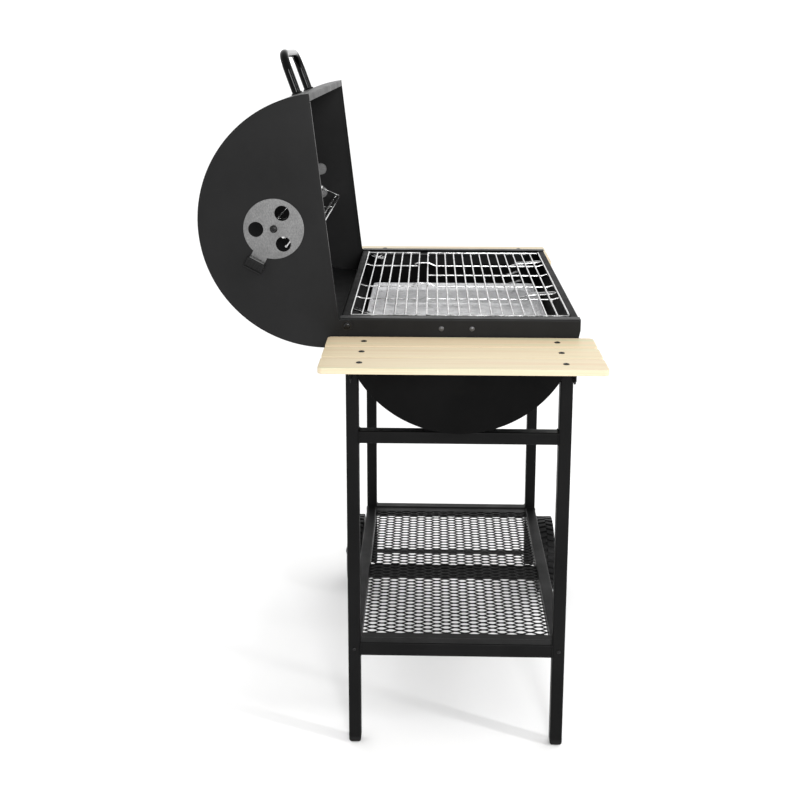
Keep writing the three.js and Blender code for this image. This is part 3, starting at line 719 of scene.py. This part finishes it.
def cross_wire(shape, x, rows, top, outer, link=0.0):
    """A cross wire under the rows: it steps up at the outer row, and may hump over the next grate's row."""
    z = top - 2.8 * MM
    inner_y, outer_y = (rows[-1], rows[0]) if outer < 0 else (rows[0], rows[-1])
    step, hook = -outer * 9 * MM, -outer * link
    path = [(x, outer_y, z + GRATE_LIFT), (x, outer_y + 0.35 * step, z + GRATE_LIFT),
            (x, outer_y + 1.3 * step, z)]
    if link:
        path += [(x, inner_y - 0.6 * hook, z), (x, inner_y - 0.1 * hook, z + 6.5 * MM),
                 (x, inner_y + 0.75 * hook, z + 6.5 * MM), (x, inner_y + hook, z + 3.5 * MM)]
    else:
        path += [(x, inner_y, z)]
    shape.wire(softened(path, 3.5 * MM, 4), CROSS_R)


def hairpin(shape, start, stop, spread):
    """Two wires side by side, joined by a bend at the far end."""
    start, stop = Vector(start), Vector(stop)
    middle = (start + stop) / 2
    side = (stop - start).cross(Vector((0, 0, 1))).normalized() * spread / 2
    path = [start + side, middle + side, stop + side, stop - side, middle - side, start - side]
    shape.wire(softened(path, 0.9 * spread, 5), CROSS_R)


def make_grates():
    """Two grates side by side. The wide one hooks over the narrow one."""
    low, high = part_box("cooking_grate_front")
    front, rows, top = make_grate("cooking_grate_front", -1)
    for share, link in ((-0.52, 0), (-0.155, 27 * MM), (0.21, 0), (0.54, 27 * MM)):
        cross_wire(front, share * high.x, rows, top, -1, link)
    under = top - 3.6 * MM
    for x in (-0.108, 0.19):
        foot = (x, rows[3] + 2 * MM, under)
        hairpin(front, foot, (x, rows[0] + 3 * MM, under + 4 * MM), 15 * MM)
        clip = [(x - 7 * MM, rows[4], under - 6 * MM), (x + 9 * MM, rows[3], under - 4 * MM),
                (x + 9 * MM, rows[2], under)]
        front.wire(softened(clip, 5 * MM, 4), 1.4 * MM, 8)
    for x in (0.115, 0.03):
        clip = [(x + 14 * MM, rows[4] + 4 * MM, under - 12 * MM), (x, rows[3] + 5 * MM, under - 3 * MM),
                (x - 12 * MM, rows[3] + 3 * MM, under)]
        front.wire(softened(clip, 5 * MM, 4), 1.4 * MM, 8)
    piece("cooking_grate_front_fine", front, "chrome_wire", "cooking_grate_front")

    back, rows, top = make_grate("cooking_grate_back", 1)
    for share in (-0.52, -0.155, 0.54):
        cross_wire(back, share * high.x, rows, top, 1)
    for x, first, reach, last in ((high.x - 12 * MM, rows[-1] - 6 * MM, -50 * MM, rows[-2] - 12 * MM),
                                  (high.x - 14 * MM, rows[-3] + 4 * MM, -38 * MM, rows[-2] - 6 * MM),
                                  (low.x + 62 * MM, rows[-1] - 2 * MM, -44 * MM, rows[-3] + 6 * MM)):
        hairpin(back, (x, first, under), (x + reach, last, under + 2 * MM), 9 * MM)
    piece("cooking_grate_back_fine", back, "chrome_wire", "cooking_grate_back")


def make_tray():
    """A shallow folded tray with pressed ribs in its floor."""
    low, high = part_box("charcoal_tray")
    middle = (low + high) / 2
    width, depth = high.x - low.x, high.y - low.y
    wall, corner = 1.2 * MM, 9 * MM
    outer = round_rectangle(width, depth, corner, (middle.x, middle.y), 6)
    inner = round_rectangle(width - 2 * wall, depth - 2 * wall, corner - wall, (middle.x, middle.y), 6)
    floor_line = round_rectangle(width - 12 * MM, depth - 12 * MM, corner - 3 * MM, (middle.x, middle.y), 6)
    levels = [(floor_line, low.z), (outer, low.z + 4 * MM), (outer, high.z), (inner, high.z),
              (inner, low.z + 5 * MM), (floor_line, low.z + wall)]
    rings = [[Vector((u, v, z)) for u, v in outline] for outline, z in levels]
    shape = Shape().loft(rings)
    for x in (-0.6, -0.2, 0.2, 0.6):
        across = x * width / 2
        rib = [(across - 5 * MM, 0), (across - 3 * MM, 1.3 * MM), (across + 3 * MM, 1.3 * MM),
               (across + 5 * MM, 0)]
        shape.slab(rib, lambda u, v, w: Vector((u, w, low.z + wall + v)), low.y + 25 * MM, high.y - 25 * MM,
                   edge=0.4 * MM)
    piece("charcoal_tray_fine", shape, "tray_zinc", "charcoal_tray", sharp=50)


def make_rack():
    """A level rack of long wires, hung from a pin at each end of the lid."""
    low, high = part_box("warming_rack")
    pivot = Vector(JOINTS["rack_swing"]["pos_m"])
    wire_r = 2 * MM
    deck = low.z + 0.5 * MM + CROSS_R + wire_r
    shape = Shape()
    for row in (0, 9, 38, 66, 94):
        y = low.y + wire_r + row * MM
        shape.wire([(low.x + 1 * MM, y, deck), (high.x - 1 * MM, y, deck)], wire_r, 12)
    for x in (-160 * MM, 0, 160 * MM):
        shape.wire([(x, low.y + 1 * MM, deck - wire_r), (x, high.y - 1 * MM, deck - wire_r)], CROSS_R)
    ring_r = 2.8 * MM + 1.6 * MM
    for name, end in ENDS:
        x = (high.x - wire_r) if end > 0 else (low.x + wire_r)
        loop = [along_x(u, v, x) for u, v in circle(ring_r, (pivot.y, pivot.z), 24)]
        shape.wire(loop, 1.5 * MM, closed=True)
        for y in (low.y + wire_r, high.y - wire_r):
            foot = Vector((x, y, deck))
            start = Vector((x, pivot.y, pivot.z))
            start += (foot - start).normalized() * ring_r
            shape.wire([start, foot], 1.2 * MM)
        inside, outside = span(f"rack_pin_{name}", end)
        length = abs(outside - inside)
        pin = Shape().lathe([(0.1 * MM, 0), (3.6 * MM, 0.4 * MM), (4.6 * MM, 1.6 * MM), (4.6 * MM, 3 * MM),
                             (2.5 * MM, 3.2 * MM), (2.5 * MM, length), (0.1 * MM, length)],
                            (inside, pivot.y, pivot.z), (end, 0, 0), 28)
        piece(f"rack_pin_{name}_fine", pin, "bright_steel", f"rack_pin_{name}")
    piece("warming_rack_fine", shape, "chrome_wire", "warming_rack")


# ------------ stand

TUBE_CORNER = 2.6 * MM
TUBE_WALL = 1.2 * MM


def square_tube(shape, width, height, place, low, high, centre):
    outline = round_rectangle(width, height, TUBE_CORNER, centre, 5)
    inside = (width - 2 * TUBE_WALL, height - 2 * TUBE_WALL)
    bore = round_rectangle(*inside, TUBE_CORNER - TUBE_WALL, centre, 4)
    return shape.slab(outline, place, low, high, [bore], 0.25 * MM)


def make_legs():
    """Square tube legs, coped at the top to the bowl."""
    for end_name, _ in ENDS:
        for side_name, _ in SIDES:
            node = f"leg_{end_name}_{side_name}"
            low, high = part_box(node)
            centre = ((low.x + high.x) / 2, (low.y + high.y) / 2)
            width = high.x - low.x
            rings = []
            for inset, top in ((0, False), (0, True), (TUBE_WALL, True), (TUBE_WALL, False)):
                loop = round_rectangle(width - 2 * inset, width - 2 * inset, TUBE_CORNER - inset, centre, 5)
                rings.append([Vector((x, y, cope(y, high.z) if top else low.z)) for x, y in loop])
            leg = Shape().loft(rings, closed=True)
            weld(leg, round_rectangle(width, width, TUBE_CORNER, centre, 5),
                 lambda u, v, w: Vector((u, v, cope(v, high.z) - 1 * MM)), 0, 1.6 * MM)
            piece(f"{node}_fine", leg, "frame_black", node, sharp=50)


def cope(y, highest):
    """The height where a leg meets the bowl's skin."""
    across = min(abs(y - AXIS_Y), BOWL_R)
    return min(highest, BOWL_TOP - math.sqrt(max(BOWL_R**2 - across**2, 0)) - 0.3 * MM)


def make_rails():
    """Tubes between the legs, each with a bead of weld at its ends."""
    across = ("cross_rail_left", "cross_rail_right", "shelf_rail_left", "shelf_rail_right",
              "shelf_rail_middle")
    along = ("shelf_rail_front", "shelf_rail_back")
    for nodes, place, length_axis, width_axis in ((across, along_y, 1, 0), (along, along_x, 0, 1)):
        for node in nodes:
            low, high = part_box(node)
            centre = ((low[width_axis] + high[width_axis]) / 2, (low.z + high.z) / 2)
            size = (high[width_axis] - low[width_axis], high.z - low.z)
            ends = (low[length_axis], high[length_axis])
            rail = square_tube(Shape(), *size, place, *ends, centre)
            for end in ends:
                weld(rail, round_rectangle(*size, TUBE_CORNER, centre, 5), place, end)
            piece(f"{node}_fine", rail, "frame_black", node)


def make_mesh_shelf():
    """Expanded metal: zigzag strands that touch at bonds, long way across the grill, in a flat border."""
    low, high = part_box("mesh_shelf")
    border = 18 * MM
    x0, x1 = low.x + border, high.x - border
    y0, y1 = low.y + 1 * MM, high.y - 1 * MM
    rows = round((x1 - x0) / (6.5 * MM))
    row = (x1 - x0) / rows
    diamonds = round((y1 - y0) / (32.5 * MM))
    length = (y1 - y0) / diamonds
    middle_z = high.z - 1.2 * MM
    shape = Shape()
    half_strand = 1.35 * MM
    strand = round_rectangle(2 * half_strand, 1.6 * MM, 0.3 * MM, steps=1)
    swing = row / 2 - 0.6 * half_strand
    pattern = ((0.0, 1), (0.07, 1), (0.25, 0), (0.43, -1), (0.5, -1), (0.57, -1), (0.75, 0), (0.93, 1))
    for i in range(rows + 1):
        sign = 1 if i % 2 else -1
        path = []
        for k in range(diamonds):
            for share, lean in pattern:
                slope = sign * lean * swing
                if (i == 0 and slope < 0) or (i == rows and slope > 0):
                    slope = 0
                rise = 0.5 * MM * lean * sign
                path.append((x0 + i * row + slope, y0 + (k + share) * length, middle_z + rise))
        path.append((path[-1][0], y1, path[-1][2]))
        flat_sweep(shape, path, strand)
    for a, b in ((low.x, x0 + 0.5 * MM), (x1 - 0.5 * MM, high.x)):
        edge = round_rectangle(b - a, 1.6 * MM, 0.5 * MM, ((a + b) / 2, middle_z), 3)
        shape.slab(edge, along_y, low.y, high.y)
    piece("mesh_shelf_fine", shape, "frame_black", "mesh_shelf")


def flat_sweep(shape, path, section):
    """Carries a section along a nearly level path, keeping it upright."""
    path = [Vector(p) for p in path]
    rings = []
    for i, point in enumerate(path):
        tangent = path[min(i + 1, len(path) - 1)] - path[max(i - 1, 0)]
        side = Vector((tangent.y, -tangent.x, 0)).normalized()
        rings.append([point + side * u + Vector((0, 0, v)) for u, v in section])
    shape.loft(rings)


def make_leg_bolts():
    """Bolts through the legs into the lower shelf's rails."""
    bolts = Shape()
    for end_name, end in ENDS:
        for side_name, _ in SIDES:
            low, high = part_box(f"leg_{end_name}_{side_name}")
            rail_low, rail_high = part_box(f"shelf_rail_{end_name}")
            _, face = span(f"leg_{end_name}_{side_name}", end)
            place = (face, (low.y + high.y) / 2, (rail_low.z + rail_high.z) / 2)
            bolts.lathe(bolt_head(3.4 * MM, 2.2 * MM), place, (end, 0, 0), 20)
    piece("leg_bolts", bolts, "bolt_black", body="stand")


def make_feet():
    """Rounded plastic caps on the ends of the left legs."""
    for name, _ in SIDES:
        node = f"foot_cap_{name}"
        low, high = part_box(node)
        centre = ((low.x + high.x) / 2, (low.y + high.y) / 2)
        width = high.x - low.x
        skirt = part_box(f"leg_left_{name}")[0].z - 0.1 * MM
        levels = ((0, 6.5), (0.6, 4.2), (2.2, 1.8), (5, 0.4), (9, 0), (11, 0), (skirt / MM, 0.3))
        rings = [[Vector((x, y, z * MM)) for x, y in
                  round_rectangle(width - 2 * inset * MM, width - 2 * inset * MM, 2.4 * MM, centre, 6)]
                 for z, inset in levels]
        plug = round_rectangle(width - 4 * MM, width - 4 * MM, 1 * MM, centre, 6)
        rings.append([Vector((x, y, high.z)) for x, y in plug])
        piece(f"foot_cap_{name}_fine", Shape().loft(rings), "plastic_black", node)


# ------------ wheels


def make_wheels():
    """Moulded wheels: a lugged tread, a dished face with spokes, and a hub on the axle."""
    for name, side in SIDES:
        low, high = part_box(f"wheel_{name}")
        centre = (low + high) / 2
        radius = (high.z - low.z) / 2
        half = (high.y - low.y) / 2 - 2 * MM
        bore = 5.3 * MM
        profile = [(bore, -half - 2 * MM), (13 * MM, -half - 2 * MM), (15 * MM, -half + 0.5 * MM),
                   (15.6 * MM, -3 * MM), (54 * MM, -3 * MM), (58 * MM, -half + 4 * MM),
                   (61 * MM, -half + 0.6 * MM), (69 * MM, -half), (76 * MM, -half + 1 * MM),
                   (79.5 * MM, -half + 4 * MM), (80.5 * MM, -half + 9 * MM)]
        mirrored = [(r, -y) for r, y in profile[::-1]]
        wheel = Shape().lathe([*profile, *mirrored, profile[0]], centre, (0, 1, 0), 96)
        for i in range(8):
            spoke(wheel, centre, math.pi * i / 4, half)
        for i in range(36):
            for row, shift in ((-1, 0), (1, 0.5)):
                lug(wheel, centre, 2 * math.pi * (i + shift) / 36, row, half, radius)
        piece(f"wheel_{name}_fine", wheel, "plastic_black", f"wheel_{name}")

        cap_low, cap_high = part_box(f"axle_cap_{name}")
        start = cap_low.y if side > 0 else cap_high.y
        cap_profile = [(bore, 0), (11 * MM, 0), (11 * MM, 1 * MM), (9.4 * MM, 2.4 * MM), (7 * MM, 3.2 * MM),
                       (bore, 3.4 * MM), (bore, 0)]
        cap = Shape().lathe(cap_profile, (centre.x, start, centre.z), (0, side, 0), 40)
        piece(f"axle_cap_{name}_fine", cap, "bolt_black", f"axle_cap_{name}")
    low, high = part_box("axle")
    middle = (low + high) / 2
    r, chamfer = (high.z - low.z) / 2, 1 * MM
    length = high.y - low.y
    rod = [(0.1 * MM, 0), (r - chamfer, 0), (r, chamfer), (r, length - chamfer), (r - chamfer, length),
           (0.1 * MM, length)]
    axle = Shape().lathe(rod, (middle.x, low.y, middle.z), (0, 1, 0), 28)
    piece("axle_fine", axle, "bolt_black", "axle")


def wheel_directions(angle):
    """The directions outwards and onwards round a wheel."""
    return Vector((math.cos(angle), 0, math.sin(angle))), Vector((-math.sin(angle), 0, math.cos(angle)))


def spoke(shape, centre, angle, half):
    """A rib on both faces of the wheel's web."""
    radial, across = wheel_directions(angle)
    outline = round_rectangle(43 * MM, 2 * half - 9 * MM, 2 * MM, (36 * MM, 0), 3)
    shape.slab(outline, lambda u, v, w: centre + radial * u + Vector((0, v, 0)) + across * w,
               -3 * MM, 3 * MM, edge=1 * MM)


def lug(shape, centre, angle, row, half, radius):
    """A block of tread, set a little askew on one shoulder of the wheel."""
    radial, onwards = wheel_directions(angle)
    across = Vector((0, row, 0)) + onwards * 0.25
    outline = round_rectangle(9 * MM, half - 2 * MM, 1.5 * MM, (0, half / 2 - 1 * MM), 3)
    shape.slab(outline, lambda u, v, w: centre + radial * w + onwards * u + across * v,
               78.5 * MM, radius, edge=1 * MM)


# ------------ side shelves


def make_shelves():
    """Three planks beyond each end of the barrel, screwed down on two arms."""
    tints = ((1.0, 0.97, 0.95), (0.98, 1.0, 1.0), (0.97, 1.0, 1.03))
    for end_name, end in ENDS:
        for i in range(3):
            node = f"plank_{end_name}_{i + 1}"
            low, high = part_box(node)
            middle = (low + high) / 2
            outline = round_rectangle(high.x - low.x, high.y - low.y, 8 * MM, (middle.x, middle.y), 8)
            plank = Shape().slab(outline, along_z, low.z, high.z, edge=1.4 * MM)
            material = make_pine(f"pine_{end_name}_{i + 1}", (3.7 * i + end, 1.3 * i, 0.9 * i), tints[i])
            piece(f"{node}_fine", plank, "pine", node, material=material)
            screws = Shape()
            for _, side in SIDES:
                place = (middle.x, AXIS_Y + side * 158 * MM, high.z)
                screws.lathe([(0.1 * MM, 0.1 * MM), (1.4 * MM, 0.2 * MM), (1.8 * MM, 1.1 * MM),
                              (3.6 * MM, 1.2 * MM), (4.7 * MM, 0.7 * MM), (5 * MM, -0.3 * MM)],
                             place, (0, 0, 1), 24)
            piece(f"shelf_screws_{end_name}_{i + 1}", screws, "bolt_black", body="stand",
                  material=SCREW_BLACK)
        for side_name, side in SIDES:
            make_arm(end_name, end, side_name, side)


def make_arm(end_name, end, side_name, side):
    """An angle under the planks: a level leaf and an outer web that tapers to its free end."""
    node = f"shelf_arm_{end_name}_{side_name}"
    low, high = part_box(node)
    root, tip = span(node, end)
    web_y = high.y if side > 0 else low.y
    leaf_y = low.y if side > 0 else high.y
    rings = []
    tall = high.z - low.z
    for x, depth in ((root, tall), (tip - end * 12 * MM, tall), (tip, 0.55 * tall)):
        section = bent_angle(leaf_y, web_y, high.z, high.z - depth, side, 3 * MM, 2 * MM)
        rings.append([along_x(u, v, x) for u, v in section])
    arm = Shape().loft(rings)
    foot = round_rectangle(abs(web_y - leaf_y), tall - 1 * MM, 2 * MM,
                           ((web_y + leaf_y) / 2, (high.z + low.z) / 2), 4)
    arm.slab(foot, along_x, *sorted((root, root + end * 2 * MM)))
    arm.lathe(bolt_head(4.2 * MM, 2.6 * MM), (root + end * 2 * MM, (web_y + leaf_y) / 2, low.z + 7 * MM),
              (end, 0, 0), 24)
    piece(f"{node}_fine", arm, "frame_black", node)


# ------------ build

make_bowl()
make_lid()
make_handle()
make_grates()
make_tray()
make_rack()
make_legs()
make_rails()
make_mesh_shelf()
make_leg_bolts()
make_feet()
make_wheels()
make_shelves()


# ------------ stage, light and camera


def make_floor():
    mesh = bpy.data.meshes.new("Floor")
    reach = 60
    corners = [(-reach, -reach, 0), (reach, -reach, 0), (reach, reach, 0), (-reach, reach, 0)]
    mesh.from_pydata(corners, [], [[0, 1, 2, 3]])
    mesh.materials.append(Finish("floor", Base_Color=(0.9, 0.9, 0.9, 1), Roughness=0.9).material)
    floor = bpy.data.objects.new("Floor", mesh)
    bpy.context.scene.collection.objects.link(floor)


def make_light(name, place, target, width, height, energy):
    light = bpy.data.lights.new(name, "AREA")
    light.shape = "ELLIPSE"
    light.size = width
    light.size_y = height
    light.energy = energy
    holder = bpy.data.objects.new(name, light)
    holder.location = place
    holder.rotation_euler = (Vector(target) - Vector(place)).to_track_quat("-Z", "Y").to_euler()
    bpy.context.scene.collection.objects.link(holder)


def make_world():
    """A pale studio, brighter beyond the wheels than on the other side."""
    world = bpy.data.worlds.new("studio")
    world.use_nodes = True
    tree = world.node_tree
    place = tree.nodes.new("ShaderNodeTexCoord")
    split = tree.nodes.new("ShaderNodeSeparateXYZ")
    bright = tree.nodes.new("ShaderNodeMapRange")
    bright.inputs["From Min"].default_value = -1
    bright.inputs["To Min"].default_value = 0.85
    bright.inputs["To Max"].default_value = 1.6
    tree.links.new(place.outputs["Generated"], split.inputs["Vector"])
    tree.links.new(split.outputs["X"], bright.inputs["Value"])
    tree.links.new(bright.outputs["Result"], tree.nodes["Background"].inputs["Strength"])
    tree.nodes["Background"].inputs["Color"].default_value = (1, 1, 1, 1)
    bpy.context.scene.world = world


def make_camera():
    """A camera past the left end of the barrel, a little behind its axis, looking down a little."""
    pitch, yaw = 0.2026, 0.0283
    data = bpy.data.cameras.new("Camera")
    data.sensor_width = 36
    data.lens = 50.3
    data.shift_y = -0.16
    data.clip_end = 200
    camera = bpy.data.objects.new("Camera", data)
    camera.location = (-2.13, AXIS_Y + 0.0488, 1.25)
    aim = Vector((math.cos(pitch) * math.cos(yaw), math.cos(pitch) * math.sin(yaw), -math.sin(pitch)))
    camera.rotation_euler = aim.to_track_quat("-Z", "Y").to_euler()
    bpy.context.scene.collection.objects.link(camera)
    bpy.context.scene.camera = camera


make_floor()
make_world()
make_light("Left end", (-3.0, -0.45, 1.55), (-0.3, 0.1, 1.05), 0.7, 0.7, 42)
make_light("Front", (-1.3, -2.4, 1.9), (-0.2, 0.1, 1.0), 0.16, 1.3, 30)
make_camera()
bpy.context.scene.view_settings.view_transform = "Standard"
